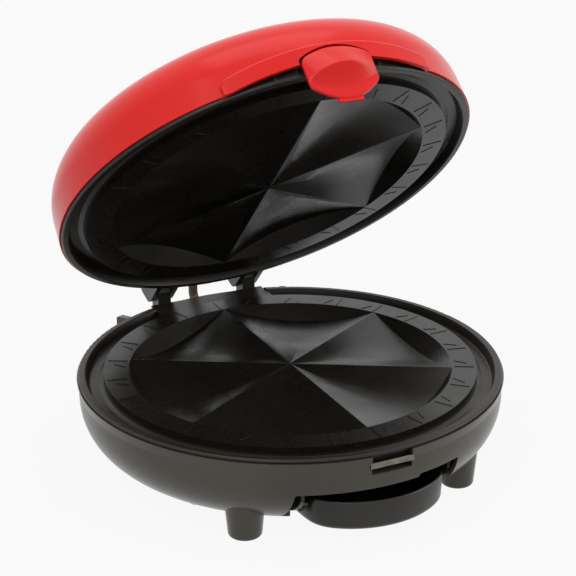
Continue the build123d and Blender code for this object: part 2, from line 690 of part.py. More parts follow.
# ================================================================ base: rim ring and hinge posts
POST_X = (-HINGE_X, HINGE_X)
with BuildPart() as base_rim_ring:
    base_spigot_r = BOWL_SIDE_R - BOWL_WALL - SPIGOT_FIT
    revolve(ring_section(LIP_Z, DOWN, BASE_FLANGE_R, BASE_FLANGE_H, base_spigot_r), axis=Axis.Z)
    # flat apron in front of the posts
    apron_l = APRON_REAR_Y - APRON_FRONT_Y
    with BuildSketch(Plane.XY.offset(APRON_Z)):
        with Locations((0, APRON_FRONT_Y)):
            Rectangle(2 * APRON_HALF, apron_l, align=(Align.CENTER, Align.MIN))
    extrude(amount=SEAM_Z + SEAM_GAP - APRON_Z)
    with BuildSketch(Plane.XY.offset(APRON_Z)):
        with Locations((0, APRON_FRONT_Y)):
            Rectangle(2 * APRON_HALF, apron_l, align=(Align.CENTER, Align.MIN))
        Circle(base_spigot_r, mode=Mode.INTERSECT)
    extrude(amount=LIP_Z - CHANNEL_D - RING_WALL - APRON_Z)
    with BuildSketch(Plane.XY.offset(LIP_Z - SEAT_D)):
        Circle(SHELF_R)
    extrude(amount=2 * PLATE_EDGE_H, mode=Mode.SUBTRACT)
    with BuildSketch(Plane.XY.offset(APRON_Z)):
        with Locations((0, APRON_FRONT_Y)):
            Rectangle(2 * APRON_HALF, BOWL_R, align=(Align.CENTER, Align.MIN))
    extrude(amount=PLATE_EDGE_H, mode=Mode.SUBTRACT)
    # bracket that fills the bowl's rear notch, and the two posts
    with BuildSketch(Plane.XY.offset(BRACKET_FOOT_Z)):
        with Locations((0, BRACKET_FRONT_Y)):
            Rectangle(
                BRACKET_W, BRACKET_REAR_Y - BRACKET_FRONT_Y, align=(Align.CENTER, Align.MIN)
            )
    extrude(amount=BRACKET_TOP_Z - BRACKET_FOOT_Z)
    for x in POST_X:
        with BuildSketch(Plane.YZ.offset(x)):
            with Locations((PIVOT_Y, PIVOT_Z)):
                Circle(POST_BOSS_R)
            with BuildLine():
                Polyline(
                    (POST_FRONT_Y, POST_FOOT_Z),
                    (POST_REAR_Y, POST_FOOT_Z),
                    (POST_REAR_Y, PIVOT_Z),
                    (PIVOT_Y - POST_BOSS_R, PIVOT_Z),
                    (POST_FRONT_Y, POST_SHOULDER_Z),
                    close=True,
                )
            make_face()
        extrude(amount=POST_W / 2, both=True)
    with BuildSketch(Plane.YZ):
        with Locations((PIVOT_Y, PIVOT_Z)):
            Circle(PIN_R + PIN_FIT / 2)
    extrude(amount=2 * HINGE_X, both=True, mode=Mode.SUBTRACT)
    # posts for the long screws
    boss_foot = bowl_height(hypot(FOOT_X, FOOT_Y) + RING_BOSS_R, BOWL_WALL) + RING_BOSS_GAP
    with BuildSketch(Plane.XY.offset(boss_foot)):
        with Locations(*FEET):
            Circle(RING_BOSS_R)
    extrude(amount=RING_UNDER_Z - boss_foot + RING_WALL / 2)
    with BuildSketch(Plane.XY.offset(boss_foot)):
        with Locations(*FEET):
            Circle(SCREW_R + THREAD_FIT)
    extrude(amount=BASE_SCREW_BITE + 1, mode=Mode.SUBTRACT)
    # room for the latch's hook behind the catch bar, and the wire guard's bore
    with BuildSketch(Plane.XY.offset(BRACKET_FOOT_Z)):
        with Locations((0, -CATCH_CLEAR_R)):
            Rectangle(
                2 * (CATCH_HALF + CATCH_WALL + NOTCH_FIT), BOWL_R, align=(Align.CENTER, Align.MAX)
            )
    extrude(amount=LIP_Z - BASE_FLANGE_H - BRACKET_FOOT_Z, mode=Mode.SUBTRACT)
    with BuildSketch(GUARD_BORE):
        Circle(GUARD_R + BUSH_WALL + GUARD_FIT)
    extrude(amount=BOWL_R + 20, mode=Mode.SUBTRACT)
write(base_rim_ring, "base_rim_ring")

with BuildPart() as hinge_pins:
    for x in POST_X:
        with BuildSketch(Plane.YZ.offset(x)):
            with Locations((PIVOT_Y, PIVOT_Z)):
                Circle(PIN_R)
        extrude(amount=POST_W / 2 + CHEEK_FIT + CHEEK_W + PIN_END, both=True)
write(hinge_pins, "hinge_pins")


def guard_bush(bore, start_y, face_y, fit):
    """Grommet that the wire guard passes: a sleeve with a flange on the outer face."""
    with BuildPart() as bush:
        with BuildSketch(bore.offset(start_y)):
            Circle(GUARD_R + BUSH_WALL)
        extrude(amount=face_y - start_y)
        with BuildSketch(bore.offset(face_y)):
            Circle(GUARD_R + BUSH_WALL + BUSH_FLANGE)
        extrude(amount=BUSH_FLANGE_T)
        with BuildSketch(bore.offset(start_y)):
            Circle(GUARD_R + fit)
        extrude(amount=BOWL_R, mode=Mode.SUBTRACT)
    return bush


base_conduit_bush = guard_bush(GUARD_BORE, GUARD_START_Y, BRACKET_REAR_Y, GUARD_FIT)
write(base_conduit_bush, "base_conduit_bush")


def opened(y, z):
    """Where a point (y, z) of the shut lid lies with the lid open as drawn."""
    turn = radians(LID_OPEN)
    dy, dz = y - PIVOT_Y, z - PIVOT_Z
    return (PIVOT_Y + dy * cos(turn) + dz * sin(turn), PIVOT_Z - dy * sin(turn) + dz * cos(turn))


with BuildPart() as wire_conduit:
    with BuildLine() as route:
        FilletPolyline(
            (GUARD_X, GUARD_START_Y, GUARD_BASE_Z),
            (GUARD_X, GUARD_BEND_Y, GUARD_BASE_Z),
            (GUARD_X, *opened(GUARD_LID_Y + GUARD_LID_RUN, GUARD_LID_Z)),
            (GUARD_X, *opened(GUARD_LID_Y, GUARD_LID_Z)),
            radius=[GUARD_BASE_BEND, GUARD_LID_BEND],
        )
    with BuildSketch(Plane(route.line @ 0, z_dir=route.line % 0)):
        Circle(GUARD_R)
    sweep()
write(wire_conduit, "wire_conduit")

# ================================================================ base: cover, feet, screws
with BuildPart() as bottom_cover:
    with BuildSketch(Plane.XY.offset(COVER_Z)):
        Circle(BOWL_OPENING_R - COVER_FIT)
    extrude(amount=COVER_T)
    fillet(bottom_cover.edges().group_by(Axis.Z)[0], COVER_ROUND)
    # the tray's bay: roof, walls and runners, cut to the bowl's inside
    with BuildSketch(Plane.XY.offset(COVER_Z + COVER_T / 2)):
        with Locations((0, BAY_FRONT_Y)):
            Rectangle(
                2 * (RUNNER_OUT_X + BAY_WALL),
                TRAY_REAR_Y + BAY_REAR_GAP + BAY_WALL - BAY_FRONT_Y,
                align=(Align.CENTER, Align.MIN),
            )
    extrude(amount=BAY_ROOF_Z - COVER_Z - COVER_T / 2)
    revolve(bowl_section(BOWL_WALL + NOTCH_FIT, COVER_Z), axis=Axis.Z, mode=Mode.INTERSECT)
    with BuildSketch(Plane.XY.offset(BAY_ROOF_Z - BAY_WALL)):
        with Locations((0, TRAY_REAR_Y + BAY_REAR_GAP)):
            Rectangle(2 * RUNNER_OUT_X, BOWL_R, align=(Align.CENTER, Align.MAX))
    extrude(amount=-BAY_ROOF_Z, mode=Mode.SUBTRACT)
    runner_z = TRAY_TOP_Z - RAIL_T - RAIL_FIT
    for side, edge in ((1, Align.MAX), (-1, Align.MIN)):
        with BuildSketch(Plane.XY.offset(runner_z)):
            with Locations((side * RUNNER_OUT_X, TRAY_REAR_Y + BAY_REAR_GAP)):
                Rectangle(
                    RUNNER_W, TRAY_REAR_Y + BAY_REAR_GAP - RAIL_FRONT_Y, align=(edge, Align.MAX)
                )
        extrude(amount=-RUNNER_T)
    with BuildSketch(Plane.XY.offset(COVER_Z)):
        with Locations(*COVER_SCREWS):
            Circle(SCREW_R + SCREW_FIT)
        with Locations(*FEET):
            Circle(FOOT_R + FOOT_NOTCH)
    extrude(amount=COVER_T, mode=Mode.SUBTRACT)
write(bottom_cover, "bottom_cover")

with BuildPart() as terminal_block:
    with Locations((TERMINAL_X, TERMINAL_Y, COVER_Z + COVER_T)):
        Box(TERMINAL_L, TERMINAL_W, TERMINAL_H, align=SITTING)
    chamfer(terminal_block.edges().filter_by(Axis.Z), 1)
write(terminal_block, "terminal_block")

with BuildPart() as feet:
    foot_h = bowl_height(hypot(FOOT_X, FOOT_Y) + FOOT_R) - PAD_PROUD + 3
    with BuildSketch(Plane.XY.offset(PAD_PROUD)):
        with Locations(*FEET):
            Circle(FOOT_R)
    extrude(amount=foot_h, taper=-FOOT_DRAFT)
    fillet(feet.edges().group_by(Axis.Z)[0], FOOT_ROUND)
    revolve(bowl_section(0), axis=Axis.Z, mode=Mode.SUBTRACT)
    with BuildSketch(Plane.XY):
        with Locations(*FEET):
            Circle(PAD_R + PAD_FIT)
    extrude(amount=PAD_T, mode=Mode.SUBTRACT)
    with BuildSketch(Plane.XY):
        with Locations(*FEET):
            Circle(SCREW_HEAD_R + SCREW_FIT)
    extrude(amount=BASE_SCREW_SEAT_Z, mode=Mode.SUBTRACT)
    with BuildSketch(Plane.XY):
        with Locations(*FEET):
            Circle(SCREW_R + SCREW_FIT)
    extrude(amount=BEND_Z, mode=Mode.SUBTRACT)
write(feet, "feet")

with BuildPart() as foot_pads:
    with BuildSketch():
        with Locations(*FEET):
            Circle(PAD_R)
    extrude(amount=PAD_T)
    fillet(foot_pads.edges().group_by(Axis.Z)[0], PAD_PROUD / 2)
write(foot_pads, "foot_pads")

base_screws = screws(FEET, BASE_SCREW_SEAT_Z, UP, boss_foot + BASE_SCREW_BITE - BASE_SCREW_SEAT_Z)
write(base_screws, "base_screws")
cover_screws = screws(COVER_SCREWS, COVER_Z, UP, COVER_T + COVER_SCREW_BITE)
write(cover_screws, "cover_screws")

# ================================================================ drip tray
def tray_body(inset):
    """The tray's tapered outside, or its inside when given the wall as inset."""
    with BuildPart() as body:
        with BuildSketch(Plane.XY.offset(TRAY_TOP_Z)) as plan:
            with Locations((0, TRAY_REAR_Y - inset)):
                Rectangle(2 * (TRAY_HALF - inset), BOWL_R, align=(Align.CENTER, Align.MAX))
            Circle(TRAY_FRONT_R - inset, mode=Mode.INTERSECT)
            fillet(plan.vertices().group_by(Axis.Y)[0], TRAY_CORNER_R - inset)
            fillet(plan.vertices().group_by(Axis.Y)[-1], TRAY_CORNER_R / 3 - inset)
        extrude(amount=TRAY_BOTTOM_Z + inset - TRAY_TOP_Z, taper=TRAY_DRAFT)
        fillet(body.edges().group_by(Axis.Z)[0], TRAY_ROUND - inset)
    return body.part


with BuildPart() as drip_tray:
    add(tray_body(0))
    add(tray_body(TRAY_WALL), mode=Mode.SUBTRACT)
    # side rails that hang on the bay's runners
    for side, edge in ((1, Align.MIN), (-1, Align.MAX)):
        with BuildSketch(Plane.XY.offset(TRAY_TOP_Z)):
            with Locations((side * (TRAY_HALF - TRAY_WALL / 2), TRAY_REAR_Y - TRAY_CORNER_R / 3)):
                Rectangle(
                    RAIL_W + TRAY_WALL / 2,
                    TRAY_REAR_Y - TRAY_CORNER_R / 3 - RAIL_FRONT_Y,
                    align=(edge, Align.MAX),
                )
        extrude(amount=-RAIL_T)
write(drip_tray, "drip_tray")

# ================================================================ lid, drawn shut: shell
PARTING = Plane.XY.offset((PLATE_Z + LID_PLATE_Z) / 2)
DOME_TOP_Z = SKIRT_Z + SKIRT_H + CROWN_H
LID_SCREWS = [at_angle(LID_SCREW_AT_R, angle) for angle in LID_SCREW_ANGLES]
LID_SEAT_Z = LID_LIP_Z + SEAT_D
LID_BORE = Plane((GUARD_X, 0, GUARD_LID_Z), x_dir=(1, 0, 0), z_dir=(0, 1, 0))
PIN_Z = LID_LIP_Z + LATCH_PIN_H
BROW_FOOT_Z = LID_LIP_Z + BROW_MOUTH_END_H
BROW_END_Z = LID_LIP_Z + BROW_END_H
BROW_TOP_Z = LID_LIP_Z + BROW_TOP_H


def arched(half, end_z, mid_z, foot_z, corner_r=0):
    """Front view (X, Z) of a panel with an arched top and, if wanted, rounded top corners."""
    with BuildSketch(Plane.XZ) as panel:
        with BuildLine():
            ThreePointArc((-half, end_z), (0, mid_z), (half, end_z))
            Polyline((half, end_z), (half, foot_z), (-half, foot_z), (-half, end_z))
        make_face()
        if corner_r:
            fillet(panel.vertices().group_by(Axis.Y)[-1], corner_r)
    return panel.sketch


with BuildPart() as brow:
    extrude(arched(BROW_HALF, BROW_END_Z, BROW_TOP_Z, BROW_FOOT_Z, BROW_CORNER_R), amount=BOWL_R + 10)
    with BuildSketch(Plane.XY.offset(BROW_FOOT_Z)):
        Circle(SHELL_R + BROW_PROUD)
        Circle(SHELL_R - SHELL_WALL, mode=Mode.SUBTRACT)
    extrude(amount=SKIRT_H, mode=Mode.INTERSECT)
    proud_edges = brow.edges().filter_by(lambda edge: edge.center().Z > BROW_FOOT_Z + 1)
    front_edges = proud_edges.filter_by(
        lambda edge: min(hypot(v.X, v.Y) for v in edge.vertices()) > SHELL_R + BROW_PROUD - 0.01
    )
    fillet(front_edges, BROW_ROUND)

with BuildPart() as brow_hollow:
    extrude(
        arched(
            BROW_HALF - SHELL_WALL,
            BROW_END_Z - SHELL_WALL,
            BROW_TOP_Z - SHELL_WALL,
            BROW_FOOT_Z,
            BROW_CORNER_R - SHELL_WALL,
        ),
        amount=BOWL_R + 10,
    )
    with BuildSketch(Plane.XY.offset(BROW_FOOT_Z)):
        Circle(SHELL_R + BROW_PROUD - SHELL_WALL)
    extrude(amount=SKIRT_H, mode=Mode.INTERSECT)

with BuildPart() as shell_bosses:
    with BuildSketch(Plane.XY.offset(LID_SEAT_Z + LID_SCREW_SINK + RING_WALL)):
        with Locations(*LID_SCREWS):
            Circle(LID_BOSS_R)
            Circle(SCREW_R + THREAD_FIT, mode=Mode.SUBTRACT)
    extrude(amount=DOME_TOP_Z)
    revolve(dome_section(SHELL_WALL / 2), axis=Axis.Z, mode=Mode.INTERSECT)

with BuildPart() as lid_shell:
    revolve(dome_section(0), axis=Axis.Z)
    add(brow.part)
    revolve(dome_section(SHELL_WALL), axis=Axis.Z, mode=Mode.SUBTRACT)
    with BuildSketch(Plane.XY.offset(LID_LIP_Z)):
        Circle(LID_FLANGE_R + SEAM_GAP)
    extrude(amount=SKIRT_Z - LID_LIP_Z, mode=Mode.SUBTRACT)
    add(brow_hollow.part, mode=Mode.SUBTRACT)
    mouth_arc = (LID_LIP_Z + BROW_MOUTH_END_H, LID_LIP_Z + BROW_MOUTH_H)
    extrude(
        arched(BROW_MOUTH_HALF, *mouth_arc, LID_LIP_Z), amount=BOWL_R + 10, mode=Mode.SUBTRACT
    )
    lever_arc = (LID_LIP_Z + LEVER_SHOULDER_H + LEVER_GAP, LID_LIP_Z + LEVER_TOP_H + LEVER_GAP)
    extrude(
        arched(LEVER_HALF + LEVER_SIDE_GAP, *lever_arc, LID_LIP_Z, LEVER_SHOULDER_R),
        amount=BOWL_R + 10,
        mode=Mode.SUBTRACT,
    )
    add(shell_bosses.part)
    # rear cut-outs for the hinge ears, and the wire guard's bore
    notch_top = PIVOT_Z + STOP_AT_R * sin(radians(STOP_ANGLE)) + STOP_LUG_R + NOTCH_FIT
    with BuildSketch(Plane.XY.offset(LID_LIP_Z)):
        with Locations((-HINGE_X, APRON_FRONT_Y), (HINGE_X, APRON_FRONT_Y)):
            Rectangle(2 * CHEEK_X + CHEEK_W + 2 * NOTCH_FIT, BOWL_R, align=(Align.CENTER, Align.MIN))
    extrude(amount=notch_top - LID_LIP_Z, mode=Mode.SUBTRACT)
    with BuildSketch(LID_BORE):
        Circle(GUARD_R + BUSH_WALL + GUARD_FIT)
    extrude(amount=BOWL_R + 10, mode=Mode.SUBTRACT)

# ================================================================ lid: ring with hinge ears
LUG_X = LATCH_BOSS_HALF + LATCH_SIDE_GAP + LATCH_LUG_W / 2
with BuildPart() as lid_ring:
    revolve(ring_section(LID_LIP_Z, UP, LID_FLANGE_R, LID_FLANGE_H, LID_SPIGOT_R), axis=Axis.Z)
    # bosses that the lid's screws are sunk in
    with BuildSketch(Plane.XY.offset(LID_SEAT_Z + RING_WALL / 2)):
        with Locations(*LID_SCREWS):
            Circle(SINK_BOSS_R)
    extrude(amount=RING_WALL / 2 + LID_SCREW_SINK)
    # round ribs on the wall that shows under the brow
    with BuildSketch(Plane.XY.offset(LID_LIP_Z + LID_FLANGE_H / 2)):
        with Locations(*[at_angle(LID_SPIGOT_R, angle) for angle in RIB_ANGLES]):
            Circle(RIB_R)
    extrude(amount=SPIGOT_D - LID_FLANGE_H / 2)
    # room for the latch, over the flange
    with BuildSketch(Plane.XY.offset(LID_LIP_Z + LID_FLANGE_H)):
        with Locations((0, -LATCH_CLEAR_R)):
            Rectangle(2 * (LEVER_HALF + LEVER_SIDE_GAP), BOWL_R, align=(Align.CENTER, Align.MAX))
    extrude(amount=SPIGOT_D, mode=Mode.SUBTRACT)
    lug = hull_of(
        (LATCH_PIN_Y, PIN_Z, LATCH_LUG_R),
        (LATCH_PIN_Y + 1, LID_LIP_Z + LID_FLANGE_H + 1, LATCH_LUG_R / 1.5),
    )
    for x in (-LUG_X, LUG_X):
        extrude(lug.moved(Location((x, 0, 0))), amount=LATCH_LUG_W / 2, both=True)
    with BuildSketch(Plane.YZ):
        with Locations((LATCH_PIN_Y, PIN_Z)):
            Circle(LATCH_PIN_R + PIN_FIT / 2)
    extrude(amount=2 * LUG_X, both=True, mode=Mode.SUBTRACT)
    # hinge ears: two cheeks beside each post, joined by the bar that stops the lid
    turn = radians(STOP_ANGLE)
    stop = (PIVOT_Y + STOP_AT_R * cos(turn), PIVOT_Z + STOP_AT_R * sin(turn))
    cheek = hull_of(
        (PIVOT_Y, PIVOT_Z, CHEEK_R),
        (TAIL_Y, TAIL_Z, TAIL_R),
        (TAIL_TIP_Y, TAIL_TIP_Z, TAIL_TIP_R),
        (*stop, STOP_LUG_R),
        (ROOT_Y, ROOT_LOW_Z, ROOT_R),
        (ROOT_Y, ROOT_HIGH_Z, ROOT_R),
    )
    for hinge_x in POST_X:
        for side in (-1, 1):
            at = Location((hinge_x + side * CHEEK_X, 0, 0))
            extrude(cheek.moved(at), amount=CHEEK_W / 2, both=True)
        with BuildSketch(Plane.YZ.offset(hinge_x)):
            with Locations(stop):
                Circle(STOP_R)
        extrude(amount=CHEEK_X, both=True)
    with BuildSketch(Plane.YZ):
        with Locations((PIVOT_Y, PIVOT_Z)):
            Circle(PIN_R + PIN_FIT)
    extrude(amount=2 * HINGE_X, both=True, mode=Mode.SUBTRACT)
    with BuildSketch(Plane.XY.offset(LID_SEAT_Z)):
        with Locations(*LID_SCREWS):
            Circle(SCREW_R + SCREW_FIT)
    extrude(amount=RING_WALL + LID_SCREW_SINK, mode=Mode.SUBTRACT)
    with BuildSketch(Plane.XY.offset(LID_SEAT_Z)):
        with Locations(*LID_SCREWS):
            Circle(SCREW_HEAD_R + SCREW_FIT)
    extrude(amount=LID_SCREW_SINK, mode=Mode.SUBTRACT)

# ================================================================ latch
BAR_UNDER_Z = BAR_Z - BAR_R - HOOK_GAP
FLAP_Y = LEVER_BACK_Y - LEVER_FLAP_T
LEVER_TOP_Z = LID_LIP_Z + LEVER_TOP_H
LEVER_SIDE_Z = LID_LIP_Z + LEVER_SIDE_H
RIDGE_Z = LID_LIP_Z + LEVER_RIDGE_H
LEVER_BOTTOM_Z = LID_LIP_Z + LEVER_BOTTOM_H


def hood_plan(height, mid_y):
    """Level section of the lever's hood: a straight back and a bulging front."""
    with BuildSketch(Plane.XY.offset(height)) as plan:
        with BuildLine():
            front = ThreePointArc((-LEVER_HALF, LEVER_SIDE_Y), (0, mid_y), (LEVER_HALF, LEVER_SIDE_Y))
            Polyline(front @ 1, (LEVER_HALF, LEVER_BACK_Y), (-LEVER_HALF, LEVER_BACK_Y), front @ 0)
        make_face()
    return plan.sketch


with BuildPart() as latch_lever:
    lean = (LEVER_RIDGE_Y - LEVER_TOP_Y) / (LEVER_TOP_Z - RIDGE_Z)
    foot_y = LEVER_TOP_Y + lean * (LEVER_TOP_Z - LEVER_SIDE_Z)
    loft([hood_plan(LEVER_TOP_Z, LEVER_TOP_Y), hood_plan(LEVER_SIDE_Z, foot_y)], ruled=True)
    with BuildSketch(Plane.XZ.offset(-LEVER_BACK_Y)):
        with Locations((0, LEVER_BOTTOM_Z)):
            Rectangle(2 * LEVER_HALF, RIDGE_Z - LEVER_BOTTOM_Z, align=(Align.CENTER, Align.MIN))
    extrude(amount=LEVER_FLAP_T)
    # front view: arched top with rounded shoulders, and a round lower edge
    with BuildSketch(Plane.XZ) as front_view:
        with BuildLine():
            ThreePointArc(
                (-LEVER_HALF, LID_LIP_Z + LEVER_SHOULDER_H),
                (0, LEVER_TOP_Z),
                (LEVER_HALF, LID_LIP_Z + LEVER_SHOULDER_H),
            )
            Line((LEVER_HALF, LID_LIP_Z + LEVER_SHOULDER_H), (LEVER_HALF, LEVER_SIDE_Z))
            ThreePointArc((LEVER_HALF, LEVER_SIDE_Z), (0, LEVER_BOTTOM_Z), (-LEVER_HALF, LEVER_SIDE_Z))
            Line((-LEVER_HALF, LEVER_SIDE_Z), (-LEVER_HALF, LID_LIP_Z + LEVER_SHOULDER_H))
        make_face()
        fillet(front_view.vertices().group_by(Axis.Y)[-1], LEVER_SHOULDER_R)
    extrude(amount=BOWL_R + 20, mode=Mode.INTERSECT)
    # the thumb's scoop under the ridge
    slope = tan(radians(LEVER_SCOOP_SLOPE))
    far = 12.0
    with BuildSketch(Plane.YZ):
        with BuildLine():
            FilletPolyline(
                (LEVER_RIDGE_Y - far, RIDGE_Z + far * slope),
                (FLAP_Y, RIDGE_Z - (FLAP_Y - LEVER_RIDGE_Y) * slope),
                (FLAP_Y, LEVER_BOTTOM_Z - far),
                (LEVER_RIDGE_Y - far, LEVER_BOTTOM_Z - far),
                radius=[0, LEVER_SCOOP_R, 0, 0],
                close=True,
            )
        make_face()
    extrude(amount=LEVER_HALF + 1, both=True, mode=Mode.SUBTRACT)
    # bosses round the pin, the hook and the small tab under the lower edge
    lever_boss = hull_of(
        (LATCH_PIN_Y, PIN_Z, LATCH_BOSS_R), (LEVER_BACK_Y + 1.5, PIN_Z, LATCH_BOSS_R)
    )
    for side in (-1, 1):
        at = Location((side * (LATCH_BOSS_HALF - LATCH_BOSS_W / 2), 0, 0))
        extrude(lever_boss.moved(at), amount=LATCH_BOSS_W / 2, both=True)
    with BuildSketch(Plane.YZ):
        with Locations((LATCH_PIN_Y, PIN_Z)):
            Circle(LATCH_PIN_R + PIN_FIT)
    extrude(amount=LATCH_BOSS_HALF + 1, both=True, mode=Mode.SUBTRACT)
    with BuildSketch(Plane.YZ):
        with BuildLine():
            Polyline(
                (FLAP_Y + LEVER_FLAP_T / 2, BAR_UNDER_Z),
                (HOOK_TIP_Y, BAR_UNDER_Z),
                (HOOK_TIP_Y, BAR_UNDER_Z - HOOK_H / 2),
                (HOOK_TIP_Y - HOOK_H / 2, BAR_UNDER_Z - HOOK_H),
                (FLAP_Y + LEVER_FLAP_T / 2, BAR_UNDER_Z - HOOK_H),
                close=True,
            )
        make_face()
    extrude(amount=TAB_HALF, both=True)
    with BuildSketch(Plane.XZ.offset(-LEVER_BACK_Y)):
        with Locations((0, LEVER_BOTTOM_Z - TAB_H)):
            Rectangle(2 * TAB_HALF, 2 * TAB_H, align=(Align.CENTER, Align.MIN))
    extrude(amount=LEVER_FLAP_T * 0.6)

with BuildPart() as latch_pin:
    with BuildSketch(Plane.YZ):
        with Locations((LATCH_PIN_Y, PIN_Z)):
            Circle(LATCH_PIN_R)
    extrude(amount=LUG_X + LATCH_LUG_W / 2, both=True)

with BuildPart() as latch_spring:
    with BuildSketch(Plane.YZ):
        with Locations((LATCH_PIN_Y, PIN_Z)):
            Circle(SPRING_R)
            Circle(LATCH_PIN_R + SPRING_FIT, mode=Mode.SUBTRACT)
    extrude(amount=SPRING_HALF, both=True)
    leg_at = SPRING_R - SPRING_WIRE_R - 0.2
    with BuildSketch(Plane.XY.offset(PIN_Z)):
        with Locations((SPRING_HALF - SPRING_WIRE_R - 0.3, LATCH_PIN_Y - leg_at)):
            Circle(SPRING_WIRE_R)
    extrude(amount=-SPRING_LEG)
    with BuildSketch(Plane.XY.offset(PIN_Z)):
        with Locations((SPRING_WIRE_R + 0.3 - SPRING_HALF, LATCH_PIN_Y + leg_at)):
            Circle(SPRING_WIRE_R)
    extrude(amount=LID_LIP_Z + LID_FLANGE_H + 0.1 - PIN_Z)

# ================================================================ lid: what mirrors the base
with BuildPart() as upper_plate:
    mirror(lower_plate.part, about=PARTING)
with BuildPart() as upper_heating_element:
    mirror(lower_heating_element.part, about=PARTING)
with BuildPart() as upper_heat_shield:
    mirror(lower_heat_shield.part, about=PARTING)
with BuildPart() as upper_plate_screws:
    mirror(lower_plate_screws.part, about=PARTING)

lid_screws = screws(LID_SCREWS, LID_SEAT_Z + LID_SCREW_SINK, UP, RING_WALL + LID_SCREW_BITE)
flange_foot_z = GUARD_LID_Z - GUARD_R - BUSH_WALL - BUSH_FLANGE
lid_bush_face = SHELL_R - (SHELL_R - DOME_EDGE_R) * (flange_foot_z - SKIRT_Z) / SKIRT_H
lid_conduit_bush = guard_bush(LID_BORE, GUARD_LID_Y - 1, lid_bush_face, GUARD_PLAY)

LID_PIECES = {
    "lid_shell": lid_shell,
    "lid_ring": lid_ring,
    "lid_screws": lid_screws,
    "lid_conduit_bush": lid_conduit_bush,
    "upper_plate": upper_plate,
    "upper_heating_element": upper_heating_element,
    "upper_heat_shield": upper_heat_shield,
    "upper_plate_screws": upper_plate_screws,
    "latch_lever": latch_lever,
    "latch_pin": latch_pin,
    "latch_spring": latch_spring,
}
for name, piece in LID_PIECES.items():
    piece.part = swung_open(piece)
    write(piece, name)
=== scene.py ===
"""Looks of a quesadilla maker: red gloss lid and latch, warm black bowl and tray, satin black
rings, two non-stick plates, steel fittings and a woven guard round the wires to the lid.
Shapes are written in millimetres and made in metres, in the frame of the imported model."""

import math

import bpy
from mathutils import Matrix, Vector


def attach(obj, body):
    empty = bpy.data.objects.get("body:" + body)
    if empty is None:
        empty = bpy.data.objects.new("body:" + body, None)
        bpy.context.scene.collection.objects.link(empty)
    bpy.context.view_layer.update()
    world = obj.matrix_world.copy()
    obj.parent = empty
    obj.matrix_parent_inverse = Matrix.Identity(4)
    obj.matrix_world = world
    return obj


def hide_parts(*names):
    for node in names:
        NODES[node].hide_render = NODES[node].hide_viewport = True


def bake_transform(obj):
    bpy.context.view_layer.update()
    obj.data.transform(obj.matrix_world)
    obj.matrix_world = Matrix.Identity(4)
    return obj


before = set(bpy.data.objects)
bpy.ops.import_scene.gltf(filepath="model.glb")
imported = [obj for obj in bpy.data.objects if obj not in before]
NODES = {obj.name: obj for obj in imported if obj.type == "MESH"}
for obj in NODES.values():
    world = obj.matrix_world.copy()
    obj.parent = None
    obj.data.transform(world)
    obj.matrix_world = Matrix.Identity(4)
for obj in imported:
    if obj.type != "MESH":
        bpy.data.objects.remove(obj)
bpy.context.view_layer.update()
MM = 0.001

# the hinge's axis, and how far the lid stands open at rest
HINGE_Y = 125.2
HINGE_Z = 72.6
LID_OPEN = math.radians(46.24)

# a shader's colour until its pattern is linked
PLAIN_GREY = "#808080"

# curved faces are shaded soft up to this angle between neighbours
EDGE_ANGLE = math.radians(38)


# ---------------------------------------------------------------- helpers for materials
def linear(hex_colour):
    """An sRGB hex colour as the linear RGBA that shaders take."""
    channels = [int(hex_colour[i : i + 2], 16) / 255 for i in (1, 3, 5)]
    return (*[c / 12.92 if c <= 0.04045 else ((c + 0.055) / 1.055) ** 2.4 for c in channels], 1)


def add_node(tree, kind, inputs=None, links=None, **settings):
    """Add a shader node with its settings, its input values and its links from other nodes."""
    node = tree.nodes.new(kind)
    for name, value in settings.items():
        setattr(node, name, value)
    for name, value in (inputs or {}).items():
        node.inputs[name].default_value = value
    for name, source in (links or {}).items():
        tree.links.new(source, node.inputs[name])
    return node


def new_material(name, roughness, **shader):
    """A material whose shader has these plain values. Gives the material, its tree, its shader
    and its object coordinates."""
    material = bpy.data.materials.new(name)
    material.use_nodes = True
    tree = material.node_tree
    tree.nodes.clear()
    values = {"Base Color": linear(PLAIN_GREY), "Roughness": roughness}
    values.update({socket.replace("_", " "): value for socket, value in shader.items()})
    surface = add_node(tree, "ShaderNodeBsdfPrincipled", values)
    add_node(tree, "ShaderNodeOutputMaterial", links={"Surface": surface.outputs[0]})
    place = add_node(tree, "ShaderNodeTexCoord").outputs["Object"]
    return material, tree, surface, place


def noise(tree, place, scale, detail, **settings):
    """The strength of a cloudy pattern with this many patches to the metre."""
    inputs = {"Scale": scale, "Detail": detail, **settings}
    return add_node(tree, "ShaderNodeTexNoise", inputs, {"Vector": place}).outputs["Fac"]


def two_tones(tree, surface, pattern, low, high):
    """Colour that a pattern moves between two tones, each given as its stop and its hex."""
    ramp = add_node(tree, "ShaderNodeValToRGB", links={"Fac": pattern})
    for element, (stop, hex_colour) in zip(ramp.color_ramp.elements, (low, high)):
        element.position = stop
        element.color = linear(hex_colour)
    tree.links.new(ramp.outputs["Color"], surface.inputs["Base Color"])


def wear_colour(tree, surface, place, hex_low, hex_high, scale):
    """Colour that drifts between two close tones, as dust, handling and the mould leave it."""
    two_tones(tree, surface, noise(tree, place, scale, 3.0), (0.35, hex_low), (0.68, hex_high))


def wear_gloss(tree, surface, place, low, high, scale):
    """Roughness that drifts between two values over the surface."""
    reach = {"From Min": 0.3, "From Max": 0.7, "To Min": low, "To Max": high}
    span = add_node(tree, "ShaderNodeMapRange", reach, {"Value": noise(tree, place, scale, 4.0)})
    tree.links.new(span.outputs["Result"], surface.inputs["Roughness"])


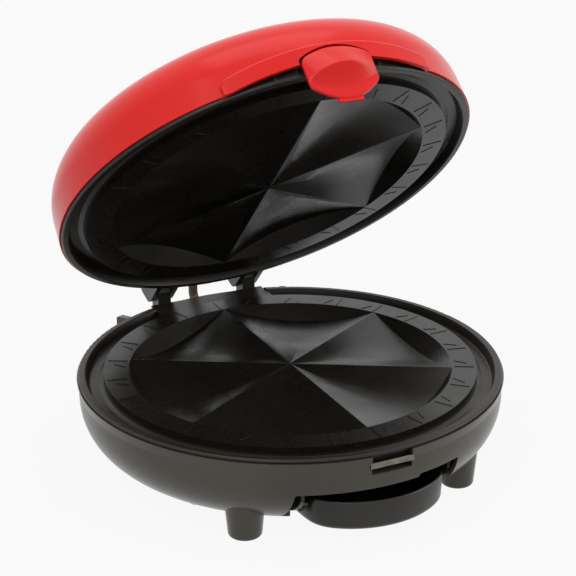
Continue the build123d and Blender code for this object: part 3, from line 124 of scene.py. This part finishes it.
def grain(tree, surface, height, depth, strength):
    """Bump from a height pattern, `depth` metres deep."""
    bump = add_node(tree, "ShaderNodeBump", {"Strength": strength, "Distance": depth}, {"Height": height})
    tree.links.new(bump.outputs["Normal"], surface.inputs["Normal"])


# ---------------------------------------------------------------- finishes
def red_gloss_abs():
    """Red ABS from a polished mould: saturated, with smooth highlights that waver slightly,
    because large thin mouldings are never quite flat."""
    material, tree, surface, place = new_material("red_gloss_abs", 0.18, IOR=1.5, Specular_IOR_Level=0.3)
    wear_colour(tree, surface, place, "#D8120E", "#DE1712", 14.0)
    wear_gloss(tree, surface, place, 0.17, 0.25, 22.0)
    grain(tree, surface, noise(tree, place, 30.0, 1.0), 0.00012, 0.5)
    return material


def black_gloss_pp(name, hex_low, hex_high, specular):
    """Black polypropylene from a polished mould: a warm black with soft reflections."""
    material, tree, surface, place = new_material(name, 0.26, IOR=1.49, Specular_IOR_Level=specular)
    wear_colour(tree, surface, place, hex_low, hex_high, 18.0)
    wear_gloss(tree, surface, place, 0.22, 0.32, 26.0)
    grain(tree, surface, noise(tree, place, 34.0, 1.0), 0.00012, 0.4)
    return material


def black_satin_pbt():
    """Black glass-filled PBT from a spark-eroded mould: a satin face with a grain of about
    0.8 mm, drawn coarser than the real 0.2 mm so that it shows."""
    material, tree, surface, place = new_material("black_satin_pbt", 0.34, IOR=1.5, Specular_IOR_Level=0.35)
    wear_colour(tree, surface, place, "#1B1814", "#24201A", 20.0)
    wear_gloss(tree, surface, place, 0.32, 0.42, 40.0)
    grain(tree, surface, noise(tree, place, 1250.0, 2.0, Roughness=0.6), 0.00006, 0.5)
    return material


def nonstick_ptfe():
    """Sprayed PTFE coat on cast aluminium: near black and warm, with an even satin sheen that is
    a little higher in patches where it is wiped, and the speckle of the spray, drawn about 1 mm
    across, coarser than it is, so that it shows."""
    material, tree, surface, place = new_material(
        "nonstick_ptfe_coat", 0.3, IOR=1.42, Specular_IOR_Level=0.5
    )
    spray = noise(tree, place, 900.0, 4.0, Roughness=0.7)
    two_tones(tree, surface, spray, (0.42, "#12100D"), (0.72, "#24211C"))
    wear_gloss(tree, surface, place, 0.24, 0.34, 55.0)
    grain(tree, surface, spray, 0.00005, 0.5)
    return material


def metal(name, roughness, metallic, tones, gloss):
    """A metal whose tone and gloss both drift, each given as its low, its high and its number of
    patches to the metre."""
    material, tree, surface, place = new_material(name, roughness, Metallic=metallic)
    wear_colour(tree, surface, place, *tones)
    wear_gloss(tree, surface, place, *gloss)
    return material


def steatite():
    """Steatite ceramic of switch bodies and terminals: chalky off-white, dead matt, with pores
    drawn about 0.6 mm across."""
    material, tree, surface, place = new_material("steatite_ceramic", 0.72, IOR=1.55)
    wear_colour(tree, surface, place, "#D8CFBD", "#E3DCCD", 90.0)
    grain(tree, surface, noise(tree, place, 1600.0, 2.0), 0.00004, 0.4)
    return material


def silicone_rubber():
    """Silicone rubber of the foot pads: dark grey and matt, with a bloom of dust."""
    material, tree, surface, place = new_material("silicone_rubber", 0.7, IOR=1.43)
    wear_colour(tree, surface, place, "#3A3938", "#4B4A48", 120.0)
    return material


def woven_glass():
    """Braided glass-fibre sleeve: beige-grey threads, one every 1.4 mm, that cross at a steep
    angle. Its UV map runs once round the sleeve and along it, in metres."""
    material, tree, surface, _ = new_material("woven_glass_sleeve", 0.75, IOR=1.5)
    chart = add_node(tree, "ShaderNodeUVMap", uv_map="sleeve").outputs["UV"]
    thread_step = 0.0014
    heights = []
    for lean in (math.radians(38), math.radians(-38)):
        way = add_node(tree, "ShaderNodeMapping", {"Rotation": (0, 0, lean)}, {"Vector": chart})
        # the wave texture repeats about every 0.31 units at a scale of 1
        threads = add_node(
            tree,
            "ShaderNodeTexWave",
            {"Scale": 0.31 / thread_step, "Distortion": 0.0},
            {"Vector": way.outputs["Vector"]},
            bands_direction="Y",
        )
        heights.append(threads.outputs["Fac"])
    over = add_node(tree, "ShaderNodeMath", links=dict(enumerate(heights)), operation="MAXIMUM")
    # the ramp paints the gaps between the threads darker than their crowns: painted shade in the hollows of
    # the braid
    two_tones(tree, surface, over.outputs[0], (0.25, "#544F44"), (0.9, "#8F8877"))
    grain(tree, surface, over.outputs[0], 0.0003, 0.8)
    return material


BOWL_BLACK = black_gloss_pp("black_gloss_polypropylene", "#39362D", "#433F34", 0.45)
TRAY_BLACK = black_gloss_pp("black_tray_polypropylene", "#1E1C18", "#282620", 0.4)
RED = red_gloss_abs()
SATIN = black_satin_pbt()
COAT = nonstick_ptfe()
# zinc-plated steel: cool grey and bright, evened by tumbling
ZINC = metal("zinc_plated_steel", 0.3, 1.0, ("#A9A9AB", "#C9C9CB", 160.0), (0.24, 0.42, 300.0))
# steel bar with a black finish, which shows as a glossy grey
BLACKENED = metal("blackened_steel", 0.16, 1.0, ("#66635C", "#7C7971", 200.0), (0.14, 0.24, 260.0))
# sheath of a tubular element: drawn steel that heat has turned grey-brown
SHEATH = metal("element_sheath_steel", 0.45, 0.9, ("#6C635B", "#857F78", 60.0), (0.38, 0.55, 120.0))
# pressed aluminised steel: pale grey, faintly cloudy
SHEET = metal("aluminised_sheet", 0.38, 1.0, ("#B4B4B2", "#C6C6C4", 30.0), (0.32, 0.46, 80.0))
CERAMIC = steatite()
PAD = silicone_rubber()

FINISHES = {
    "lid_shell": RED,
    "base_bowl": BOWL_BLACK,
    "base_rim_ring": SATIN,
    "lid_ring": SATIN,
    "bottom_cover": SATIN,
    "feet": BOWL_BLACK,
    "cord_bushing": SATIN,
    "base_conduit_bush": SATIN,
    "lid_conduit_bush": SATIN,
    "lower_plate": COAT,
    "upper_plate": COAT,
    "base_screws": ZINC,
    "cover_screws": ZINC,
    "lower_plate_screws": ZINC,
    "upper_plate_screws": ZINC,
    "lid_screws": ZINC,
    "hinge_pins": ZINC,
    "catch_bar": BLACKENED,
    "latch_pin": ZINC,
    "latch_spring": ZINC,
    "lower_heating_element": SHEATH,
    "upper_heating_element": SHEATH,
    "lower_heat_shield": SHEET,
    "upper_heat_shield": SHEET,
    "thermostat": CERAMIC,
    "terminal_block": CERAMIC,
    "thermal_fuse": ZINC,
    "foot_pads": PAD,
}
for node_name, finish in FINISHES.items():
    node_mesh = NODES[node_name].data
    node_mesh.materials.clear()
    node_mesh.materials.append(finish)


# ---------------------------------------------------------------- helpers for shapes
def opened(y, z):
    """A point of the shut lid (mm), moved to where it is with the lid open at rest."""
    dy, dz = y - HINGE_Y, z - HINGE_Z
    cos, sin = math.cos(LID_OPEN), math.sin(LID_OPEN)
    return HINGE_Y + dy * cos + dz * sin, HINGE_Z - dy * sin + dz * cos


def choose(piece):
    """Select one piece alone and make it active."""
    bpy.ops.object.select_all(action="DESELECT")
    piece.select_set(True)
    bpy.context.view_layer.objects.active = piece


def mesh_piece(name, verts, faces, material, edge_angle=EDGE_ANGLE):
    """An object from points in metres, with outward normals and soft shading up to an angle."""
    mesh = bpy.data.meshes.new(name)
    mesh.from_pydata(verts, [], faces)
    mesh.materials.append(material)
    piece = bpy.data.objects.new(name, mesh)
    bpy.context.scene.collection.objects.link(piece)
    choose(piece)
    bpy.ops.object.mode_set(mode="EDIT")
    bpy.ops.mesh.select_all(action="SELECT")
    bpy.ops.mesh.normals_make_consistent(inside=False)
    bpy.ops.object.mode_set(mode="OBJECT")
    bpy.ops.object.shade_smooth()
    mesh.set_sharp_from_angle(angle=edge_angle)
    return piece


def stacked(rings):
    """Points and faces that join closed rings one to the next; the first two faces cap the ends."""
    count = len(rings[0])
    verts = [point for ring in rings for point in ring]
    faces = [tuple(range(count - 1, -1, -1)), tuple(range(len(verts) - count, len(verts)))]
    for low in range(0, len(verts) - count, count):
        for k in range(count):
            n = (k + 1) % count
            faces.append((low + k, low + n, low + count + n, low + count + k))
    return verts, faces


def cut_or_join(piece, other, way):
    """Apply a boolean of another object to a piece, and drop the other."""
    step = piece.modifiers.new("shape", "BOOLEAN")
    step.operation = way
    step.solver = "EXACT"
    step.object = other
    choose(piece)
    bpy.ops.object.modifier_apply(modifier=step.name)
    bpy.data.objects.remove(other)


# ---------------------------------------------------------------- woven guard between base and lid
# its route goes up behind the hinge, in millimetres as (y, z)
GUARD_X = -0.5
GUARD_R = 2.85
GUARD_SIDES = 28
GUARD_LID_END = opened(117.0, 75.0)
GUARD_ROUTE = [
    (117.0, 44.8),
    (130.0, 44.8),
    (138.0, 45.2),
    (138.6, 54.0),
    (137.6, 62.0),
    (131.0, 70.2),
    GUARD_LID_END,
]


def smooth_line(points):
    """Points (m) along the NURBS spline that has these control points (mm)."""
    curve = bpy.data.curves.new("guard_line", "CURVE")
    curve.dimensions = "3D"
    spline = curve.splines.new("NURBS")
    spline.points.add(len(points) - 1)
    for control, point in zip(spline.points, points):
        control.co = (*(Vector(point) * MM), 1)
    spline.order_u = 3
    spline.use_endpoint_u = True
    spline.resolution_u = 10
    line = bpy.data.objects.new("guard_line", curve)
    path = [vertex.co.copy() for vertex in bpy.data.meshes.new_from_object(line).vertices]
    bpy.data.objects.remove(line)
    return path


def woven_guard():
    """The sleeve round the lid's wires: a tube along the guard's route, made where it lies with the lid
    open at rest.
    """
    x = GUARD_X
    path = smooth_line([(x, *spot) for spot in GUARD_ROUTE])
    radius = GUARD_R * MM
    round_length = 2 * math.pi * radius
    across_x = Vector((1, 0, 0))
    rings = []
    reached = [0.0]
    for i, spot in enumerate(path):
        ahead = (path[min(i + 1, len(path) - 1)] - path[max(i - 1, 0)]).normalized()
        up = ahead.cross(across_x).normalized()
        turns = [2 * math.pi * k / GUARD_SIDES for k in range(GUARD_SIDES)]
        rings.append([spot + (across_x * math.cos(a) + up * math.sin(a)) * radius for a in turns])
        if i:
            reached.append(reached[-1] + (spot - path[i - 1]).length)
    piece = mesh_piece("woven_guard", *stacked(rings), woven_glass(), math.pi)
    chart = piece.data.uv_layers.new(name="sleeve")
    for polygon in piece.data.polygons:
        # the last side of each ring closes it, so its map ends at the full way round
        closes = polygon.index >= 2 and (polygon.index - 2) % GUARD_SIDES == GUARD_SIDES - 1
        for corner in polygon.loop_indices:
            ring, k = divmod(piece.data.loops[corner].vertex_index, GUARD_SIDES)
            turn = (GUARD_SIDES if closes and k == 0 else k) / GUARD_SIDES
            chart.data[corner].uv = (turn * round_length, reached[ring])
    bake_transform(piece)
    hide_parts("wire_conduit")


# ---------------------------------------------------------------- latch lever
# all in the shut lid, in millimetres: heights are above the lid's lip, a name that ends in _Z is
# a z of the whole model, and y is negative towards the front
LIP_Z = 55.3
LEVER_HALF = 19.4
LEVER_TOP = 12.8
LEVER_TOP_ARCH = 5.6
LEVER_SHOULDER_R = 3.0
LEVER_FOOT = -17.9
LEVER_FOOT_ARCH = 8.9
LEVER_CORNER_R = 2.0
LEVER_RIDGE = -0.4
LEVER_RIDGE_ARCH = 4.6
LEVER_BACK_Y = -120.8
LEVER_TOP_Y = -122.3
LEVER_FLAP_Y = -122.4
LEVER_BULGE = 6.7
LEVER_EDGE_R = 0.7
LEVER_THINNEST = 0.4
HOOD_SWELL = 0.9
SCOOP_SHARE = 0.62
SCOOP_HOLLOW = 1.35
RIDGE_SOFTNESS = 0.22
PIN_Y = -118.0
PIN_H = 6.0
BOSS_R = 2.7
BOSS_FROM_X = 12.0
BOSS_TO_X = 15.5
BORE_R = 1.6
HOOK_HALF = 6.8
# bosses and hook start this far inside the lever, so that they are one piece with it
ROOT_Y = -121.6
HOOK_TIP_Y = -116.4
HOOK_TOP_Z = 44.4
HOOK_T = 2.1
TAB_FRONT_Y = -121.8
TAB_FOOT = -19.4
TAB_TOP = -16.4


def lever_front(x, h):
    """The y (mm) of the lever's face at a place on its front view, before its ridge is softened."""
    out = (x / LEVER_HALF) ** 2
    top = LEVER_TOP - LEVER_TOP_ARCH * out
    ridge = LEVER_RIDGE - LEVER_RIDGE_ARCH * out
    foot = LEVER_FOOT + LEVER_FOOT_ARCH * out
    peak = LEVER_TOP_Y - LEVER_BULGE * (1 - out)
    if h >= ridge:
        down = min(1, max(0, (top - h) / (top - ridge)))
        return LEVER_TOP_Y + (peak - LEVER_TOP_Y) * down**HOOD_SWELL
    left = max(0, 1 - (ridge - h) / (ridge - foot) / SCOOP_SHARE)
    return LEVER_FLAP_Y + (peak - LEVER_FLAP_Y) * left**SCOOP_HOLLOW


def rounding(radius, into):
    """How far a round of this radius falls, so far into it."""
    return radius - math.sqrt(radius**2 - max(0, into) ** 2)


def lever_column(x):
    """Heights down the lever's face at this x, close together at its edges and at the ridge."""
    out = (x / LEVER_HALF) ** 2
    to_side = abs(x) - LEVER_HALF
    top = LEVER_TOP - LEVER_TOP_ARCH * out - rounding(LEVER_SHOULDER_R, to_side + LEVER_SHOULDER_R)
    foot = LEVER_FOOT + LEVER_FOOT_ARCH * out + rounding(LEVER_CORNER_R, to_side + LEVER_CORNER_R)
    ridge = LEVER_RIDGE - LEVER_RIDGE_ARCH * out
    from_edge = (0.0, 0.12, 0.35, LEVER_EDGE_R)
    from_ridge = (0.25, 0.6, 1.1)
    hood_top, hood_foot = top - from_edge[-1], ridge + from_ridge[-1]
    flap_top, flap_foot = ridge - from_ridge[-1], foot + from_edge[-1]
    heights = [top - d for d in from_edge]
    heights += [hood_top + (hood_foot - hood_top) * k / 9 for k in range(1, 9)]
    heights += [ridge + d for d in reversed(from_ridge)]
    heights += [ridge]
    heights += [ridge - d for d in from_ridge]
    heights += [flap_top + (flap_foot - flap_top) * k / 15 for k in range(1, 15)]
    heights += [foot + d for d in reversed(from_edge)]
    return heights


def lid_point(x, y, h):
    """A point of the shut lid, by its height over the lip, in metres where it is at rest."""
    return Vector((x, *opened(y, LIP_Z + h))) * MM


def lid_prism(profile, x_from, x_to):
    """A red prism between two x, from a profile of the shut lid's (y, height) points."""
    ends = [[lid_point(x, y, h) for y, h in profile] for x in (x_from, x_to)]
    return mesh_piece("prism", *stacked(ends), RED)


def lever_body():
    """The lever's hood, ridge, scoop and flap, with a flat back."""
    columns = 56
    front, back = [], []
    for i in range(columns + 1):
        x = LEVER_HALF * math.sin(math.pi / 2 * (2 * i / columns - 1))
        heights = lever_column(x)
        for h in heights:
            y = sum(lever_front(x, h + step * RIDGE_SOFTNESS) for step in (-2, -1, 0, 1, 2)) / 5
            edge = max(0, min(LEVER_HALF - abs(x), heights[0] - h, h - heights[-1]))
            y = min(y + rounding(LEVER_EDGE_R, LEVER_EDGE_R - edge), LEVER_BACK_Y - LEVER_THINNEST)
            front.append(lid_point(x, y, h))
            back.append(lid_point(x, LEVER_BACK_Y, h))
    rows = len(front) // (columns + 1)
    behind = len(front)
    faces = []
    for a in (i * rows + j for i in range(columns) for j in range(rows - 1)):
        b = a + rows
        faces.append((a, b, b + 1, a + 1))
        faces.append((behind + a, behind + a + 1, behind + b + 1, behind + b))
    # round the outline: along the top, down the right side, back along the foot, up the left
    border = [i * rows for i in range(columns + 1)]
    border += [columns * rows + j for j in range(1, rows)]
    border += [i * rows + rows - 1 for i in range(columns - 1, -1, -1)]
    border += list(range(rows - 2, 0, -1))
    for a, b in zip(border, border[1:] + border[:1]):
        faces.append((a, behind + a, behind + b, b))
    return mesh_piece("latch_lever_hood", front + back, faces, RED)


def latch_lever():
    """The latch lever: its body, two bosses on the pin, the hook behind it and the tab below."""
    piece = lever_body()
    half_turn = [math.radians(90 - 180 * k / 24) for k in range(25)]
    boss = [(PIN_Y + BOSS_R * math.cos(a), PIN_H + BOSS_R * math.sin(a)) for a in half_turn]
    boss += [(ROOT_Y, PIN_H - BOSS_R), (ROOT_Y, PIN_H + BOSS_R)]
    for side in (-1, 1):
        cut_or_join(piece, lid_prism(boss, side * BOSS_FROM_X, side * BOSS_TO_X), "UNION")
    turn = [math.pi * k / 16 for k in range(32)]
    bore = [(PIN_Y + BORE_R * math.cos(a), PIN_H + BORE_R * math.sin(a)) for a in turn]
    cut_or_join(piece, lid_prism(bore, -BOSS_TO_X - 1.5, BOSS_TO_X + 1.5), "DIFFERENCE")
    hook_top = HOOK_TOP_Z - LIP_Z
    hook = [
        (ROOT_Y, hook_top),
        (HOOK_TIP_Y, hook_top),
        (HOOK_TIP_Y, hook_top - HOOK_T / 2),
        (HOOK_TIP_Y - HOOK_T / 2, hook_top - HOOK_T),
        (ROOT_Y, hook_top - HOOK_T),
    ]
    cut_or_join(piece, lid_prism(hook, -HOOK_HALF, HOOK_HALF), "UNION")
    tab = [
        (LEVER_BACK_Y, TAB_FOOT),
        (LEVER_BACK_Y, TAB_TOP),
        (TAB_FRONT_Y, TAB_TOP),
        (TAB_FRONT_Y, TAB_FOOT),
    ]
    cut_or_join(piece, lid_prism(tab, -HOOK_HALF, HOOK_HALF), "UNION")
    piece.data.set_sharp_from_angle(angle=EDGE_ANGLE)
    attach(piece, "latch")
    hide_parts("latch_lever")


# ---------------------------------------------------------------- drip tray
TRAY_TOP_Z = 26.0
TRAY_FOOT_Z = 8.8
TRAY_WALL = 1.8
TRAY_DRAFT = 0.04
TRAY_FOOT_R = 3.5
TRAY_INSIDE_R = 4.0
TRAY_HALF = 38.5
TRAY_BACK_Y = -49.0
TRAY_MIDDLE_Y = -76.0
TRAY_BOW_X = 3.0
TRAY_BOW_Y = -65.8
TRAY_BOW_R = 53.4
TRAY_FLARE = 5.2
TRAY_FLARE_Y = -98.0
TRAY_FLARE_L = 5.0
TRAY_CORNERS = 13.0
RAIL_IN_X = 37.4
RAIL_OUT_X = 42.1
RAIL_BACK_Y = -53.0
RAIL_FRONT_OUT_Y = -95.5
RAIL_FRONT_IN_Y = -97.0
RAIL_FOOT_Z = 20.2
RAIL_TOP_Z = 22.0


def tray_ring(z, inset):
    """Level outline of the tray (m): straight sides and back, a bowed front that flares at the
    right, and round corners. Each point lies on a ray from the tray's middle, a little short of
    the nearest wall where two walls meet."""
    from_bow = (-TRAY_BOW_X, TRAY_MIDDLE_Y - TRAY_BOW_Y)
    from_bow_squared = from_bow[0] ** 2 + from_bow[1] ** 2
    ring = []
    for k in range(180):
        a = 2 * math.pi * k / 180
        dx, dy = math.cos(a), math.sin(a)
        along = from_bow[0] * dx + from_bow[1] * dy
        walls = [-along + math.sqrt(along**2 - from_bow_squared + (TRAY_BOW_R - inset) ** 2)]
        if abs(dx) > 1e-6:
            past = TRAY_FLARE_Y - (TRAY_MIDDLE_Y + TRAY_HALF / abs(dx) * dy)
            share = min(1, max(0, past / TRAY_FLARE_L)) ** 2
            flare = TRAY_FLARE * share if dx > 0 else 0
            walls.append((TRAY_HALF + flare - inset) / abs(dx))
        if dy > 1e-6:
            walls.append((TRAY_BACK_Y - inset - TRAY_MIDDLE_Y) / dy)
        r = sum(w**-TRAY_CORNERS for w in walls) ** (-1 / TRAY_CORNERS)
        ring.append(Vector((r * dx, TRAY_MIDDLE_Y + r * dy, z)) * MM)
    return ring


def tray_rounding(foot_z, radius, wall):
    """Rings of the round between floor and wall, from the floor up."""
    rings = []
    for k in range(8):
        a = math.pi / 2 * k / 7
        z = foot_z + radius * (1 - math.cos(a))
        rings.append(tray_ring(z, wall + TRAY_DRAFT * (TRAY_TOP_Z - z) + radius * (1 - math.sin(a))))
    return rings


def drip_tray():
    """The drip tray: a drawer with a bowed front, a rolled rim and side rails."""
    rings = tray_rounding(TRAY_FOOT_Z, TRAY_FOOT_R, 0)
    rim_r = TRAY_WALL / 2
    for k in range(7):
        a = math.pi * k / 6
        rings.append(tray_ring(TRAY_TOP_Z - rim_r + rim_r * math.sin(a), rim_r * (1 - math.cos(a))))
    rings += reversed(tray_rounding(TRAY_FOOT_Z + TRAY_WALL, TRAY_INSIDE_R, TRAY_WALL))
    piece = mesh_piece("drip_tray_drawer", *stacked(rings), TRAY_BLACK)
    for side in (-1, 1):
        corners = [
            (side * RAIL_IN_X, RAIL_BACK_Y),
            (side * RAIL_OUT_X, RAIL_BACK_Y),
            (side * RAIL_OUT_X, RAIL_FRONT_OUT_Y),
            (side * RAIL_IN_X, RAIL_FRONT_IN_Y),
        ]
        rail = [[Vector((x, y, z)) * MM for x, y in corners] for z in (RAIL_FOOT_Z, RAIL_TOP_Z)]
        cut_or_join(piece, mesh_piece("rail", *stacked(rail), TRAY_BLACK), "UNION")
    piece.data.set_sharp_from_angle(angle=EDGE_ANGLE)
    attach(piece, "tray")
    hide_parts("drip_tray")


woven_guard()
latch_lever()
drip_tray()


# ---------------------------------------------------------------- floor, light and camera
def seen_white(tree):
    """1 for rays from the camera, from gloss and through glass, else 0."""
    ray = add_node(tree, "ShaderNodeLightPath").outputs
    pair = {0: ray["Is Camera Ray"], 1: ray["Is Glossy Ray"]}
    both = add_node(tree, "ShaderNodeMath", links=pair, operation="MAXIMUM")
    every = {0: both.outputs[0], 1: ray["Is Transmission Ray"]}
    return add_node(tree, "ShaderNodeMath", links=every, operation="MAXIMUM").outputs[0]


# how much of the floor's look is plain white, where it is seen
FLOOR_LIFT = 0.92


def pale_floor():
    """A plain grey floor. Rays from the camera, from gloss and through glass see it lifted
    nearly to white, with the object's shadow still on it."""
    bpy.ops.object.select_all(action="DESELECT")
    bpy.ops.mesh.primitive_plane_add(size=12.0, location=(0, 0, 0))
    floor = bpy.context.object
    floor.name = "pale_floor"
    material = bpy.data.materials.new("white_paper_sweep")
    material.use_nodes = True
    tree = material.node_tree
    tree.nodes.clear()
    paper = add_node(tree, "ShaderNodeBsdfDiffuse", {"Color": (0.4, 0.4, 0.4, 1)})
    glow = add_node(tree, "ShaderNodeEmission", {"Color": (1, 1, 1, 1), "Strength": 1.0})
    share = add_node(tree, "ShaderNodeMath", {1: FLOOR_LIFT}, {0: seen_white(tree)}, operation="MULTIPLY")
    parts = {0: share.outputs[0], 1: paper.outputs[0], 2: glow.outputs[0]}
    mix = add_node(tree, "ShaderNodeMixShader", links=parts)
    add_node(tree, "ShaderNodeOutputMaterial", links={"Surface": mix.outputs[0]})
    floor.data.materials.append(material)


def softbox(name, spot, target, width, height, power):
    """A rectangular lamp at a place, turned to a target."""
    light = bpy.data.lights.new(name, "AREA")
    light.shape = "RECTANGLE"
    light.size = width
    light.size_y = height
    light.energy = power
    lamp = bpy.data.objects.new(name, light)
    bpy.context.scene.collection.objects.link(lamp)
    lamp.location = spot
    lamp.rotation_euler = (Vector(target) - Vector(spot)).to_track_quat("-Z", "Y").to_euler()


def studio():
    """White surroundings that light the object more from above than from the sides, a large soft
    key from the upper left, a lower one at the right and a weak one overhead."""
    world = bpy.data.worlds.new("white_studio")
    bpy.context.scene.world = world
    world.use_nodes = True
    tree = world.node_tree
    tree.nodes.clear()
    way = add_node(tree, "ShaderNodeTexCoord").outputs["Generated"]
    rise = add_node(tree, "ShaderNodeSeparateXYZ", links={0: way}).outputs["Z"]
    reach = {"From Min": 0.05, "From Max": 0.8, "To Min": 0.12, "To Max": 0.85}
    strength = add_node(tree, "ShaderNodeMapRange", reach, {"Value": rise}).outputs["Result"]
    white = {"Color": (1, 1, 1, 1)}
    room = add_node(tree, "ShaderNodeBackground", white, {"Strength": strength})
    seen = add_node(tree, "ShaderNodeBackground", {**white, "Strength": 1.0})
    parts = {0: seen_white(tree), 1: room.outputs[0], 2: seen.outputs[0]}
    mix = add_node(tree, "ShaderNodeMixShader", links=parts)
    add_node(tree, "ShaderNodeOutputWorld", links={"Surface": mix.outputs[0]})
    softbox("key_upper_left", (-1.1, -0.9, 1.5), (0, 0, 0.1), 1.2, 1.0, 12.5)
    softbox("fill_right", (1.35, -0.75, 0.5), (0, 0, 0.12), 0.9, 0.9, 7.0)
    softbox("top", (0.1, 0.3, 1.7), (0, 0, 0.1), 1.4, 1.0, 5.0)


def camera():
    """The photograph's view: a long lens, from the front left and a little above."""
    lens = bpy.data.cameras.new("view")
    lens.sensor_width = 36.0
    lens.lens = 110.2
    lens.clip_start = 0.01
    lens.clip_end = 20.0
    view = bpy.data.objects.new("view", lens)
    bpy.context.scene.collection.objects.link(view)
    ahead = Vector((0.4066, 0.8361, -0.3682)).normalized()
    level = ahead.to_track_quat("-Z", "Y").to_matrix()
    roll = Matrix.Rotation(math.radians(0.29), 3, ahead)
    view.matrix_world = Matrix.Translation((-0.3990, -0.8182, 0.4609)) @ (roll @ level).to_4x4()
    bpy.context.scene.camera = view


pale_floor()
studio()
camera()
bpy.context.scene.view_settings.view_transform = "Standard"
